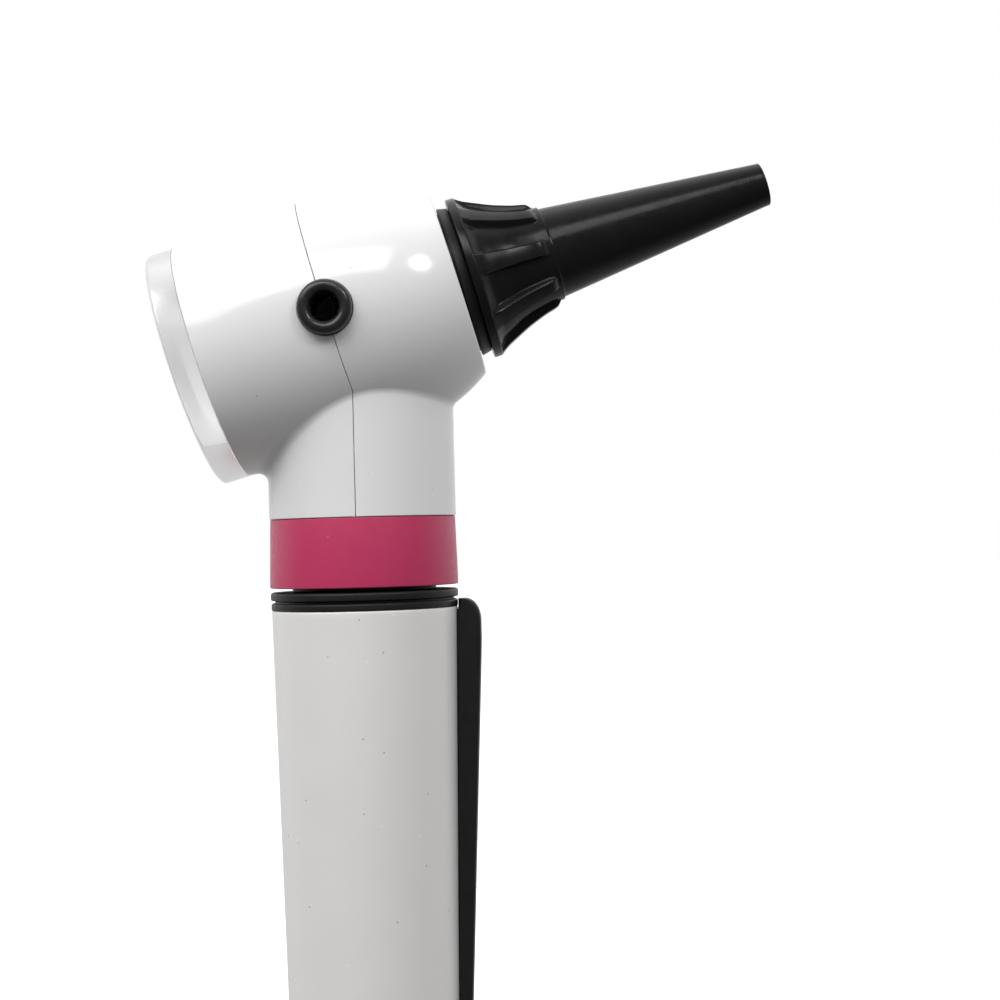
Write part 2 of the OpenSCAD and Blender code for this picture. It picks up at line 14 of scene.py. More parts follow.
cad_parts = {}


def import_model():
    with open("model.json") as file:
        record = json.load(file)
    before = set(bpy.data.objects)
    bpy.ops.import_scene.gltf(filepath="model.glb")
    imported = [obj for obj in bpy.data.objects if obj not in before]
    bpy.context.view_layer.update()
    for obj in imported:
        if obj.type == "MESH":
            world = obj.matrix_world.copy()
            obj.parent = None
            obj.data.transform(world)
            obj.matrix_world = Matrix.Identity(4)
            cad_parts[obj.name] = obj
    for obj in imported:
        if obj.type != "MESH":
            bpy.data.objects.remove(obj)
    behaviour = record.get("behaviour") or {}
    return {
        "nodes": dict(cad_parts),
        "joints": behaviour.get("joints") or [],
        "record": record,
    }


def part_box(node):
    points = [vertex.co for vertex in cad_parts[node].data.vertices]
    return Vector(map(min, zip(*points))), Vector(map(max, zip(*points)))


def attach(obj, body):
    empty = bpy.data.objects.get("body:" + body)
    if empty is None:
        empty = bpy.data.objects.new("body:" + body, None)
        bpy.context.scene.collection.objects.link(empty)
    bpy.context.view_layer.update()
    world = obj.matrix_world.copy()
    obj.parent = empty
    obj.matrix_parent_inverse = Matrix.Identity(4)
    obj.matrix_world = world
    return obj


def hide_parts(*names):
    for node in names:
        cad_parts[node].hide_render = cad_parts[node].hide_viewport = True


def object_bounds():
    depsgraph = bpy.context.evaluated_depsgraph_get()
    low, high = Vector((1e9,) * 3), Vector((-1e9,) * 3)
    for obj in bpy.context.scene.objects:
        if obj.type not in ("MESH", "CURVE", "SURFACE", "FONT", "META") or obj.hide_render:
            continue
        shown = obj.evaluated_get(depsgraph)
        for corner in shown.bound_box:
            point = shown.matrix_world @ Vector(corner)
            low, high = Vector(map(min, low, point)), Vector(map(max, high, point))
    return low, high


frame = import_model()
CAD_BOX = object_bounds()
NODES = frame["nodes"]
JOINTS = {joint["name"]: joint for joint in frame["joints"]}
MM = 0.001

# ---------------------------------------------------------------- places from the frame


def corners(node):
    """A CAD node's lowest and highest corners, in millimetres."""
    low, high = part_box(node)
    return np.array(low) / MM, np.array(high) / MM


def unit(v):
    return v / np.linalg.norm(v)


UP = np.array([0.0, 0.0, 1.0])
SIDE = np.array([0.0, 1.0, 0.0])
RIM_Z = corners("handle_tube")[1][2]
# The barrel's axis is the line along which the speculum pulls off
AXIS = unit(np.array(JOINTS["speculum_pull"]["axis"], float))
OVER = np.cross(AXIS, SIDE)  # square to the barrel's axis, and pointing up
PORT_LOW, PORT_HIGH = corners("insufflation_port")
PORT = (PORT_LOW + PORT_HIGH) / 2
PORT_S = PORT[0] / AXIS[0]
# Where the barrel's axis crosses the handle's
CROSSING = np.array([0.0, 0.0, PORT[2] - PORT_S * AXIS[2]])


def along_barrel(node):
    """The lowest and highest distance of a CAD node along the barrel's axis, from CROSSING."""
    points = np.array([v.co for v in NODES[node].data.vertices]) / MM
    s = (points - CROSSING) @ AXIS
    return s.min(), s.max()


# A place is an origin and three axes
HANDLE = (np.zeros(3), np.array([1.0, 0, 0]), SIDE, UP)
BARREL = (CROSSING, -OVER, SIDE, AXIS)

# ---------------------------------------------------------------- materials


class Material:
    """A node material: a Principled shader, with procedural detail added step by step."""

    def __init__(self, name, colour, rough, **inputs):
        self.mat = bpy.data.materials.new(name)
        self.mat.use_nodes = True
        self.tree = self.mat.node_tree
        self.shader = self.tree.nodes["Principled BSDF"]
        self.shader.inputs["Base Color"].default_value = (*colour, 1)
        self.shader.inputs["Roughness"].default_value = rough
        for key, value in inputs.items():
            self.shader.inputs[key.replace("_", " ")].default_value = value
        self.place = self.tree.nodes.new("ShaderNodeTexCoord")
        self.bump_out = None

    def new(self, kind, **settings):
        node = self.tree.nodes.new(kind)
        for key, value in settings.items():
            setattr(node, key, value)
        return node

    def link(self, a, b):
        self.tree.links.new(a, b)

    def noise(self, size, detail):
        """Noise whose features are about size millimetres across."""
        scaled = self.new("ShaderNodeMapping")
        scaled.inputs["Scale"].default_value = [1 / (size * MM)] * 3
        self.link(self.place.outputs["Object"], scaled.inputs["Vector"])
        texture = self.new("ShaderNodeTexNoise")
        texture.inputs["Scale"].default_value = 1
        texture.inputs["Detail"].default_value = detail
        self.link(scaled.outputs["Vector"], texture.inputs["Vector"])
        return texture.outputs["Fac"]

    def specks(self, size, share):
        """1 in small round spots about size millimetres apart, and 0 elsewhere."""
        cells = self.new("ShaderNodeTexVoronoi")
        cells.inputs["Scale"].default_value = 1 / (size * MM)
        self.link(self.place.outputs["Object"], cells.inputs["Vector"])
        return self.ramp(cells.outputs["Distance"], share, share * 0.6)

    def ramp(self, value, low, high, to=(0, 1)):
        node = self.new("ShaderNodeMapRange", interpolation_type="SMOOTHSTEP")
        node.inputs["From Min"].default_value = low
        node.inputs["From Max"].default_value = high
        node.inputs["To Min"].default_value = to[0]
        node.inputs["To Max"].default_value = to[1]
        self.link(value, node.inputs["Value"])
        return node.outputs["Result"]

    def tint(self, value, colour_a, colour_b):
        """Base colour from a at 0 to b at 1."""
        mix = self.new("ShaderNodeMix", data_type="RGBA")
        mix.inputs["A"].default_value = (*colour_a, 1)
        mix.inputs["B"].default_value = (*colour_b, 1)
        self.link(value, mix.inputs["Factor"])
        self.link(mix.outputs["Result"], self.shader.inputs["Base Color"])
        return self

    def tint_over(self, value, colour):
        """Lays a colour over what already feeds the base colour, where value is 1."""
        under = self.shader.inputs["Base Color"].links[0].from_socket
        mix = self.new("ShaderNodeMix", data_type="RGBA")
        mix.inputs["B"].default_value = (*colour, 1)
        self.link(under, mix.inputs["A"])
        self.link(value, mix.inputs["Factor"])
        self.link(mix.outputs["Result"], self.shader.inputs["Base Color"])
        return self

    def rough(self, value, low, high):
        """Roughness from low to high over the middle of a noise's range."""
        self.link(self.ramp(value, 0.3, 0.7, (low, high)), self.shader.inputs["Roughness"])
        return self

    def bump(self, value, height):
        """Relief height millimetres deep, laid over what is there already."""
        node = self.new("ShaderNodeBump")
        node.inputs["Distance"].default_value = height * MM
        node.inputs["Strength"].default_value = 1
        self.link(value, node.inputs["Height"])
        if self.bump_out:
            self.link(self.bump_out, node.inputs["Normal"])
        self.bump_out = node.outputs["Normal"]
        self.link(self.bump_out, self.shader.inputs["Normal"])
        return self


def white_shell():
    m = Material("white_shell", (0.84, 0.84, 0.84), 0.16, Specular_IOR_Level=0.42)
    m.shader.inputs["Coat Weight"].default_value = 0.2
    m.shader.inputs["Coat Roughness"].default_value = 0.04
    m.tint(m.noise(9, 4), (0.77, 0.77, 0.77), (0.805, 0.805, 0.80))
    m.tint_over(m.specks(2.6, 0.035), (0.45, 0.44, 0.42))
    m.rough(m.noise(1.2, 5), 0.13, 0.2)
    m.bump(m.noise(5.5, 2), 0.01)
    m.bump(m.noise(0.35, 2), 0.0006)
    return m.mat


def lacquered_metal():
    m = Material("lacquered_metal", (0.72, 0.72, 0.71), 0.42, Specular_IOR_Level=0.5)
    m.shader.inputs["Metallic"].default_value = 0.12
    m.tint(m.noise(6, 5), (0.785, 0.775, 0.765), (0.83, 0.82, 0.81))
    m.tint_over(m.specks(1.7, 0.06), (0.42, 0.42, 0.41))
    m.tint_over(m.specks(2.9, 0.05), (0.9, 0.89, 0.88))
    m.rough(m.noise(0.8, 5), 0.36, 0.5)
    m.bump(m.noise(0.16, 4), 0.006)
    m.bump(m.noise(1.4, 2), 0.006)
    return m.mat


def black_plastic(name="black_plastic", grain=0.22, rough=(0.34, 0.46), dark=0.0115):
    m = Material(name, (dark, dark, dark), rough[0], Specular_IOR_Level=0.22)
    m.tint(m.noise(3.5, 4), (dark * 0.8,) * 3, (dark * 1.35, dark * 1.35, dark * 1.4))
    m.rough(m.noise(0.9, 4), *rough)
    m.bump(m.noise(grain, 4), 0.008)
    return m.mat


def speculum_black():
    m = Material("speculum_black", (0.009, 0.009, 0.009), 0.2, Specular_IOR_Level=0.18)
    m.tint(m.noise(4, 4), (0.006, 0.006, 0.0062), (0.011, 0.011, 0.0115))
    m.rough(m.noise(1.1, 4), 0.19, 0.27)
    m.bump(m.noise(0.5, 3), 0.005)
    m.bump(m.noise(3.2, 2), 0.012)
    return m.mat


def pink_ring():
    m = Material("pink_ring", (0.47, 0.035, 0.135), 0.36, Specular_IOR_Level=0.5)
    m.tint(m.noise(5, 4), (0.48, 0.030, 0.105), (0.53, 0.040, 0.125))
    m.tint_over(m.specks(2.2, 0.05), (0.60, 0.12, 0.24))
    m.rough(m.noise(0.7, 5), 0.31, 0.42)
    m.bump(m.noise(0.2, 3), 0.005)
    return m.mat


def rubber(name="seal_rubber", rough=(0.45, 0.6)):
    m = Material(name, (0.02, 0.02, 0.02), rough[0], Specular_IOR_Level=0.4)
    m.tint(m.noise(1.5, 4), (0.014, 0.014, 0.014), (0.024, 0.024, 0.025))
    m.rough(m.noise(0.6, 4), *rough)
    m.bump(m.noise(0.3, 3), 0.006)
    return m.mat


def clear_acrylic():
    m = Material("lens_clear", (0.93, 0.94, 0.94), 0.02, IOR=1.49, Transmission_Weight=1.0)
    m.rough(m.noise(2.5, 4), 0.01, 0.045)
    m.bump(m.noise(6, 2), 0.004)
    return m.mat


def frosted_edge():
    """The lens's rim: half clear, with painted shade that makes it darker higher up, and a painted
    glow from within. The painted glow stands in for light piped through the lens, and the whole is
    tuned to the photo's side."""
    m = Material("lens_edge", (0.5, 0.505, 0.5), 0.33, IOR=1.49, Transmission_Weight=0.5)
    m.shader.inputs["Specular IOR Level"].default_value = 0.25
    # Painted glow: a weak white emission that stands in for light piped through the lens
    m.shader.inputs["Emission Color"].default_value = (1, 1, 1, 1)
    m.shader.inputs["Emission Strength"].default_value = 0.17
    height = m.new("ShaderNodeSeparateXYZ")
    m.link(m.place.outputs["Object"], height.inputs["Vector"])
    low, high = (corner[2] * MM for corner in corners("lens"))
    middle = (low + high) / 2
    m.tint(m.noise(5, 2), (0.97, 0.975, 0.97), (1, 1, 1))
    # Painted shade: the rim's colour darkens from its bottom to its middle, and further to its top
    m.tint_over(m.ramp(height.outputs["Z"], low, middle), (0.45, 0.455, 0.45))
    m.tint_over(m.ramp(height.outputs["Z"], middle, high), (0.12, 0.122, 0.124))
    m.rough(m.noise(3, 2), 0.3, 0.38)
    m.bump(m.noise(3, 2), 0.002)
    return m.mat


def metal(name, dull, bright, rough):
    m = Material(name, bright, rough[0], Metallic=1.0)
    m.tint(m.noise(2.5, 5), dull, bright)
    m.rough(m.noise(0.7, 4), *rough)
    m.bump(m.noise(0.25, 3), 0.004)
    return m.mat


def moulded(name, dark, light):
    m = Material(name, light, 0.4, Specular_IOR_Level=0.45)
    m.tint(m.noise(3, 4), dark, light)
    m.rough(m.noise(0.9, 4), 0.4, 0.55)
    m.bump(m.noise(0.3, 3), 0.006)
    return m.mat


def cell_wrap():
    """Shrink wrap round a cell: dark, with a copper-coloured band at the top quarter of each."""
    m = Material("cell_wrap", (0.05, 0.055, 0.06), 0.28, Specular_IOR_Level=0.55)
    height = m.new("ShaderNodeSeparateXYZ")
    m.link(m.place.outputs["Object"], height.inputs["Vector"])
    m.tint(m.noise(4, 4), (0.035, 0.038, 0.045), (0.06, 0.065, 0.072))
    for node in ("cell_lower", "cell_upper"):
        low, high = corners(node)
        band = high[2] - 0.26 * (high[2] - low[2])
        m.tint_over(m.ramp(height.outputs["Z"], band * MM, (band + 0.2) * MM), (0.42, 0.22, 0.09))
        m.tint_over(
            m.ramp(height.outputs["Z"], (high[2] - 0.1) * MM, high[2] * MM), (0.05, 0.055, 0.06)
        )
    m.rough(m.noise(1.2, 4), 0.24, 0.36)
    m.bump(m.noise(0.9, 3), 0.006)
    return m.mat


def bulb_glass():
    m = Material("bulb_glass", (0.97, 0.97, 0.96), 0.03, IOR=1.5, Transmission_Weight=1.0)
    m.rough(m.noise(1.0, 3), 0.02, 0.06)
    m.bump(m.noise(1.5, 2), 0.004)
    return m.mat


def fibre_face():
    """Polished ends of a ring of fibres, each about 0.05 mm across."""
    m = Material("fibre_face", (0.8, 0.82, 0.85), 0.2, IOR=1.5, Transmission_Weight=0.4)
    cells = m.new("ShaderNodeTexVoronoi")
    cells.inputs["Scale"].default_value = 1 / (0.06 * MM)
    m.link(m.place.outputs["Object"], cells.inputs["Vector"])
    m.tint(m.ramp(cells.outputs["Distance"], 0.35, 0.6), (0.85, 0.88, 0.92), (0.25, 0.26, 0.28))
    m.rough(m.noise(0.3, 3), 0.15, 0.3)
    m.bump(m.noise(0.1, 2), 0.003)
    return m.mat


METAL_BRIGHT = (0.66, 0.65, 0.62)
MATERIALS = {
    "white_shell": white_shell(),
    "lacquered_metal": lacquered_metal(),
    "black_plastic": black_plastic(),
    "speculum_black": speculum_black(),
    "funnel_black": black_plastic("funnel_black", 0.3, (0.62, 0.8), 0.008),
    "fibre_sheath": black_plastic("fibre_sheath", 0.4, (0.4, 0.6), 0.02),
    "pink_ring": pink_ring(),
    "seal_rubber": rubber(),
    "port_rubber": rubber("port_rubber", (0.2, 0.3)),
    "lens_clear": clear_acrylic(),
    "lens_edge": frosted_edge(),
    "nickel": metal("nickel", (0.52, 0.51, 0.49), METAL_BRIGHT, (0.2, 0.34)),
    "brass": metal("brass", (0.50, 0.36, 0.14), (0.72, 0.53, 0.24), (0.22, 0.38)),
    "insulator": moulded("insulator", (0.50, 0.49, 0.44), (0.60, 0.58, 0.53)),
    "liner": moulded("liner", (0.60, 0.59, 0.55), (0.68, 0.67, 0.62)),
    "cell_wrap": cell_wrap(),
    "bulb_glass": bulb_glass(),
    "fibre_face": fibre_face(),
}

SLOT_OF = {row["node"]: row["material_slot"] for row in frame["record"]["subparts"]}
for cad_name, cad_object in NODES.items():
    cad_object.data.materials.clear()
    cad_object.data.materials.append(MATERIALS[SLOT_OF[cad_name]])

# ---------------------------------------------------------------- mesh tools


ARC_STEPS = 6
TINY = 1e-6


def place_points(points, place):
    """Points in a place's own coordinates, millimetres, as row-frame points in metres."""
    origin, x, y, z = place
    points = np.asarray(points, float)
    return (origin + points[:, :1] * x + points[:, 1:2] * y + points[:, 2:] * z) * MM


def piece(name, points, faces, body, slot, stands_for, normals=None, sharp=32):
    """A finished piece: its mesh, material and body, and the CAD nodes that it stands for. Edges
    over sharp degrees are sharp, unless the normals are given."""
    mesh = bpy.data.meshes.new(name)
    mesh.from_pydata([tuple(p) for p in points], [], [tuple(f) for f in faces])
    mesh.validate()
    mesh.polygons.foreach_set("use_smooth", [True] * len(mesh.polygons))
    if normals is None:
        mesh.set_sharp_from_angle(angle=math.radians(sharp))
    else:
        mesh.normals_split_custom_set_from_vertices([tuple(n) for n in normals])
    obj = bpy.data.objects.new(name, mesh)
    bpy.context.scene.collection.objects.link(obj)
    mesh.materials.append(MATERIALS[slot])
    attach(obj, body)
    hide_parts(*stands_for)
    return obj


def arc(centre, radius, start, end):
    """Points on an arc in a plane, with angles in degrees."""
    angles = np.radians(np.linspace(start, end, ARC_STEPS + 1))
    return [(centre[0] + radius * math.cos(a), centre[1] + radius * math.sin(a)) for a in angles]


def rounded(outline, count=5):
    """An outline whose points are (r, z) or (r, z, corner radius), with its corners made round."""
    result = []
    total = len(outline)
    for i, point in enumerate(outline):
        p = np.array(point[:2], float)
        if len(point) < 3:
            result.append(tuple(p))
            continue
        to_last = unit(np.array(outline[i - 1][:2], float) - p)
        to_next = unit(np.array(outline[(i + 1) % total][:2], float) - p)
        half = math.acos(np.clip(to_last @ to_next, -1, 1)) / 2
        reach = point[2] / math.tan(half)
        centre = p + unit(to_last + to_next) * point[2] / math.sin(half)
        a, b = p + to_last * reach - centre, p + to_next * reach - centre
        turn = math.acos(np.clip(unit(a) @ unit(b), -1, 1))
        for t in np.linspace(0, 1, count + 1):
            mixed = (math.sin((1 - t) * turn) * a + math.sin(t * turn) * b) / math.sin(turn)
            result.append(tuple(centre + mixed))
    return result


def rings_to_faces(rows, columns, closed=True):
    """Quads between rows of a grid whose columns go round, and whose rows do too if closed."""
    faces = []
    for i in range(rows if closed else rows - 1):
        for j in range(columns):
            a, b = i * columns + j, i * columns + (j + 1) % columns
            k = (i + 1) % rows
            c, d = k * columns + (j + 1) % columns, k * columns + j
            faces.append((a, b, c, d))
    return faces


def turned(outline, columns, radius_at=lambda r, z, angle: r):
    """Points and faces of a closed (r, z) outline turned about z. It runs up the outside first."""
    points, ids = [], []
    for r, z in outline:
        if r < TINY:
            ids.append([len(points)] * columns)
            points.append((0, 0, z))
            continue
        ids.append(list(range(len(points), len(points) + columns)))
        for j in range(columns):
            angle = 2 * math.pi * j / columns
            radius = radius_at(r, z, angle)
            points.append((radius * math.cos(angle), radius * math.sin(angle), z))
    faces = []
    for i, row in enumerate(ids):
        after = ids[(i + 1) % len(ids)]
        for j in range(columns):
            k = (j + 1) % columns
            face = [row[j], row[k], after[k], after[j]]
            face = [v for n, v in enumerate(face) if v != face[n - 1]]
            if len(face) > 2:
                faces.append(face)
    return points, faces


def lathe(name, outline, place, body, slot, stands_for, columns=160):
    """A closed (r, z) outline turned about a place's z, as a piece."""
    outline = [p for i, p in enumerate(outline) if math.dist(p[:2], outline[i - 1][:2]) > TINY]
    points, faces = turned(outline, columns)
    return piece(name, place_points(points, place), faces, body, slot, stands_for)


def smooth_through(points, count):
    """A Catmull-Rom curve through (r, s) points, with count steps between two of them."""
    p = np.array([points[0], *points, points[-1]], float)
    out = []
    for i in range(1, len(p) - 2):
        for t in np.linspace(0, 1, count, endpoint=False):
            a, b, c, d = p[i - 1 : i + 3]
            out.append(
                0.5 * (2 * b + (c - a) * t + (2 * a - 5 * b + 4 * c - d) * t**2
                       + (3 * b - 3 * c + d - a) * t**3)
            )
    return out + [p[-1]]


# ---------------------------------------------------------------- head shells

# The barrel's side: a wide arc behind its widest place, and a power curve in front of it
BARREL_MAX_R = 12.528
WIDEST_S = -4.5
REAR_CURVE_R = 90.0
FRONT_DROP = 5.45e-4
FRONT_POWER = 3.2
SLOPE_STEP = 0.01
# Its two ends
FRONT_EDGE_R = 0.4
REAR_EDGE_R = 0.14
OPENING_R = 9.6
FRONT_OPENING_R = 7.05
HOLDER_STEM = 2.7
REAR_S = along_barrel("lens_gasket")[0]
FRONT_S = along_barrel("speculum_holder")[0] + HOLDER_STEM
# The neck
NECK_R = 9.3
NECK_FILLET_R = 1.05
RING_TOP_Z = corners("colour_ring")[1][2]
MEETING_DROP = 4
NEAREST_STEPS = 8
HALVINGS = 30
# The parting line, the port's hole and the grid between them
SEAM_S = -2.35
PORT_GAP = 0.03
GRID = 0.5
AROUND = 152
GRID_CLEAR = 0.2
SAME_PLACE = 1e-7
# The skin's thickness, its round outer edges, and how far they stay back from its border
SKIN = 0.34
EDGE_R = 0.09
EDGE_GAP = 0.025
EDGE_ROWS = 3


def barrel_r(s):
    """The barrel's radius at a distance s along its axis."""
    rear = BARREL_MAX_R - (WIDEST_S - s) ** 2 / (2 * REAR_CURVE_R)
    front = BARREL_MAX_R - FRONT_DROP * np.maximum(s - WIDEST_S, 0) ** FRONT_POWER
    return np.where(s < WIDEST_S, rear, front)


def barrel_slope(s):
    return (barrel_r(s + SLOPE_STEP) - barrel_r(s - SLOPE_STEP)) / (2 * SLOPE_STEP)


def units(v):
    """Rows of vectors, each made one long."""
    return v / np.linalg.norm(v, axis=-1, keepdims=True)


def split(p):
    """Row-frame points as distances along the barrel's axis and unit vectors away from it."""
    s = (p - CROSSING) @ AXIS
    return s, units(p - CROSSING - s[..., None] * AXIS)


def on_barrel(s, radial):
    """Points of the barrel's surface, and the normals there."""
    points = CROSSING + s[..., None] * AXIS + barrel_r(s)[..., None] * radial
    return points, units(radial - barrel_slope(s)[..., None] * AXIS)


def nearest_on_barrel(p):
    s, radial = split(p)
    for _ in range(NEAREST_STEPS):
        points, _ = on_barrel(s, radial)
        tangent = units(AXIS + barrel_slope(s)[..., None] * radial)
        s = s + ((p - points) * tangent).sum(-1) * (tangent @ AXIS)
    return on_barrel(s, radial)


def fillet_at(phi):
    """The ball that rolls between neck and barrel, at angles round the neck: its centres, and its
    touching points on the neck and on the barrel."""
    out = np.stack([np.cos(phi), np.sin(phi), 0 * phi], -1)
    low, high = 0 * phi + RING_TOP_Z, 0 * phi + CROSSING[2] - MEETING_DROP
    for _ in range(HALVINGS):
        z = (low + high) / 2
        centre = out * (NECK_R + NECK_FILLET_R) + z[..., None] * UP
        points, normal = nearest_on_barrel(centre)
        clear = ((centre - points) * normal).sum(-1) > NECK_FILLET_R
        low, high = np.where(clear, z, low), np.where(clear, high, z)
    return centre, out * NECK_R + z[..., None] * UP, points


def split_angle():
    """The angle round the neck whose fillet meets the barrel on the parting line."""
    phis = np.radians(np.linspace(80, 92, 121))
    s, _ = split(fillet_at(phis)[2])
    return float(np.interp(-SEAM_S, -s, phis))


def barrel_outline(rear):
    """The barrel's outer outline as (s, r, normal along s, normal along r), from its open end's
    inner edge to the parting line, or from there to the front."""
    def row(s, r, angle):
        return (s, r, math.cos(angle), math.sin(angle))

    def surface(s):
        angle = math.atan2(1, -barrel_slope(s))
        return row(s, barrel_r(s), angle)

    if rear:
        s_edge = REAR_S + REAR_EDGE_R
        r_edge = barrel_r(s_edge) - REAR_EDGE_R
        face = [row(REAR_S, r, math.pi) for r in np.linspace(OPENING_R, r_edge, 5)]
        end = math.atan2(1, -barrel_slope(s_edge))
        edge = [
            row(s_edge + REAR_EDGE_R * math.cos(a), r_edge + REAR_EDGE_R * math.sin(a), a)
            for a in np.linspace(math.pi, end, 7)[1:-1]
        ]
        count = int((SEAM_S - s_edge) / GRID) + 1
        return face + edge + [surface(s) for s in np.linspace(s_edge, SEAM_S, count)]
    s_edge = FRONT_S - FRONT_EDGE_R
    start = math.atan2(1, -barrel_slope(s_edge))
    centre_s = s_edge - FRONT_EDGE_R * math.cos(start)
    centre_r = barrel_r(s_edge) - FRONT_EDGE_R * math.sin(start)
    last_s = centre_s + FRONT_EDGE_R
    edge = [
        row(centre_s + FRONT_EDGE_R * math.cos(a), centre_r + FRONT_EDGE_R * math.sin(a), a)
        for a in np.linspace(start, 0, 9)[1:]
    ]
    face = [row(last_s, r, 0) for r in np.linspace(centre_r, FRONT_OPENING_R, 4)[1:]]
    count = int((s_edge - SEAM_S) / (GRID * 0.8)) + 1
    return [surface(s) for s in np.linspace(SEAM_S, s_edge, count)] + edge + face


def inside(polygon, p):
    """Is a plane point inside a polygon?"""
    hit = False
    for (x0, y0), (x1, y1) in zip(polygon, polygon[1:] + polygon[:1]):
        if (y0 > p[1]) != (y1 > p[1]) and p[0] < (x1 - x0) * (p[1] - y0) / (y1 - y0) + x0:
            hit = not hit
    return hit


def shell_skin(rear):
    """Points, normals and faces of one shell's outer skin."""
    outline = barrel_outline(rear)
    steps = [0] + [math.dist(a[:2], b[:2]) for a, b in zip(outline, outline[1:])]
    lengths = np.cumsum(steps)
    surface = [i for i, row in enumerate(outline) if abs(row[1] - barrel_r(row[0])) < TINY]
    stations = [outline[i][0] for i in surface]
    seam_length = lengths[-1] if rear else lengths[0]
    points, normals, flat, faces = [], [], [], []

    def add(point, normal, where=None):
        points.append(point)
        normals.append(normal)
        flat.append(where)
        return len(points) - 1

    def chart(point):
        """Length along the outline, and the way round from the barrel's underside."""
        s, radial = split(np.array(point))
        if abs(s - SEAM_S) < 1e-3:
            along = seam_length
        else:
            along = np.interp(s, stations, lengths[surface])
        return float(along), math.atan2(radial @ SIDE, -(radial @ OVER)) * BARREL_MAX_R

    # Neck and fillet, from the colour ring up to the barrel
    phis = np.radians(np.linspace(90, 270, 97) if rear else np.linspace(-90, 90, 97))
    neck_rows, fillet_rows = 24, 8
    turn_by = math.pi / 2 - split_angle()
    rows = []
    foot = fillet_at(phis)[1][:, 2]
    out = np.stack([np.cos(phis), np.sin(phis), 0 * phis], -1)
    for t in np.linspace(0, 1, neck_rows, endpoint=False):
        z = RING_TOP_Z + (foot - RING_TOP_Z) * t
        rows.append((out * NECK_R + z[:, None] * UP, out))
    for t in np.linspace(0, 1, fillet_rows + 1):
        centre, on_neck, points_up = fillet_at(phis - turn_by * t * np.sin(phis))
        a, b = units(on_neck - centre), units(points_up - centre)
        turn = np.arccos((a * b).sum(-1, keepdims=True))
        way = (np.sin((1 - t) * turn) * a + np.sin(t * turn) * b) / np.sin(turn)
        rows.append((centre + way * NECK_FILLET_R, -way))
    ids = [[add(p, n) for p, n in zip(*row)] for row in rows]
    neck_edge = ids[-1]
    for v in neck_edge:
        flat[v] = chart(points[v])
    for low, high in zip(ids, ids[1:]):
        for j in range(len(low) - 1):
            faces.append((low[j], low[j + 1], high[j + 1], high[j]))

    # Half of the port's hole, on the parting line
    hole_r = corners("insufflation_port")[1][0] - PORT[0] + PORT_GAP
    start = math.acos((SEAM_S - PORT_S) / hole_r)
    end = 2 * math.pi - start if rear else start
    sweep = np.linspace(start if rear else -start, end, 41)
    up = hole_r * np.sin(sweep)
    s = PORT_S + hole_r * np.cos(sweep)
    radial = up[:, None] * OVER - np.sqrt(barrel_r(s) ** 2 - up**2)[:, None] * SIDE
    port_edge = [add(p, n, chart(p)) for p, n in zip(*on_barrel(s, units(radial)))]

    # The barrel's own grid, with both bites left out; its two long edges meet on top
    bites = [[flat[i] for i in neck_edge], [flat[i] for i in port_edge]]
    weld = {}
    for row, (s, r, normal_s, normal_r) in enumerate(outline):
        ends = []
        for j in range(AROUND + 1):
            angle = (j / AROUND * 2 - 1) * math.pi
            where = (float(lengths[row]), angle * BARREL_MAX_R)
            if any(inside(bite, where) for bite in bites):
                continue
            if min(math.dist(where, w) for bite in bites for w in bite) < GRID_CLEAR:
                continue
            radial = -OVER * math.cos(angle) + SIDE * math.sin(angle)
            v = add(CROSSING + s * AXIS + r * radial, normal_s * AXIS + normal_r * radial, where)
            if j in (0, AROUND):
                ends.append(v)
        weld[ends[1]] = ends[0]
    used = [i for i, where in enumerate(flat) if where is not None]
    local = {v: k for k, v in enumerate(used)}
    edges = [(local[a], local[b])
             for line in (neck_edge, port_edge) for a, b in zip(line, line[1:])]
    found = delaunay_2d_cdt([Vector(flat[i]) for i in used], edges, [], 0, SAME_PLACE)
    origin = [used[ids[0]] for ids in found[3]]
    for face in found[2]:
        middle = np.mean([flat[origin[v]] for v in face], axis=0)
        if not any(inside(bite, middle) for bite in bites):
            faces.append(tuple(weld.get(origin[v], origin[v]) for v in face))
    fixed = []
    for face in faces:
        a, b, c = (points[i] for i in face[:3])
        outward = np.cross(b - a, c - a) @ sum(normals[i] for i in face)
        fixed.append(face if outward > 0 else face[::-1])
    return np.array(points), np.array(normals), fixed


def close_skin(points, normals, faces):
    """Gives an outer skin a thickness, with round outer edges where it ends."""
    kept = sorted({i for face in faces for i in face})
    new_id = {v: k for k, v in enumerate(kept)}
    points, normals = points[kept], normals[kept]
    faces = [tuple(new_id[i] for i in face) for face in faces]
    half_edges = {(face[i], face[(i + 1) % len(face)]) for face in faces for i in range(len(face))}
    after = {a: b for a, b in half_edges if (b, a) not in half_edges}
    before = {b: a for a, b in after.items()}
    count = len(points)
    inner = points - SKIN * normals
    all_points, all_normals = list(points) + list(inner), list(normals) + list(-normals)
    all_faces = faces + [tuple(i + count for i in face[::-1]) for face in faces]
    rim = {}
    for v in after:
        run = unit(points[v] - points[before[v]]) + unit(points[after[v]] - points[v])
        out = unit(np.cross(run, normals[v]))
        centre = points[v] - (EDGE_R + EDGE_GAP) * out - EDGE_R * normals[v]
        chain = [v]
        for a in np.linspace(0, math.pi / 2, EDGE_ROWS + 1)[1:]:
            way = normals[v] * math.cos(a) + out * math.sin(a)
            chain.append(len(all_points))
            all_points.append(centre + EDGE_R * way)
            all_normals.append(way)
        all_points[v] = points[v] - (EDGE_R + EDGE_GAP) * out
        rim[v] = chain + [v + count]
    for a, b in after.items():
        for i in range(EDGE_ROWS + 1):
            all_faces.append((rim[b][i], rim[a][i], rim[a][i + 1], rim[b][i + 1]))
    return np.array(all_points), np.array(all_normals), all_faces


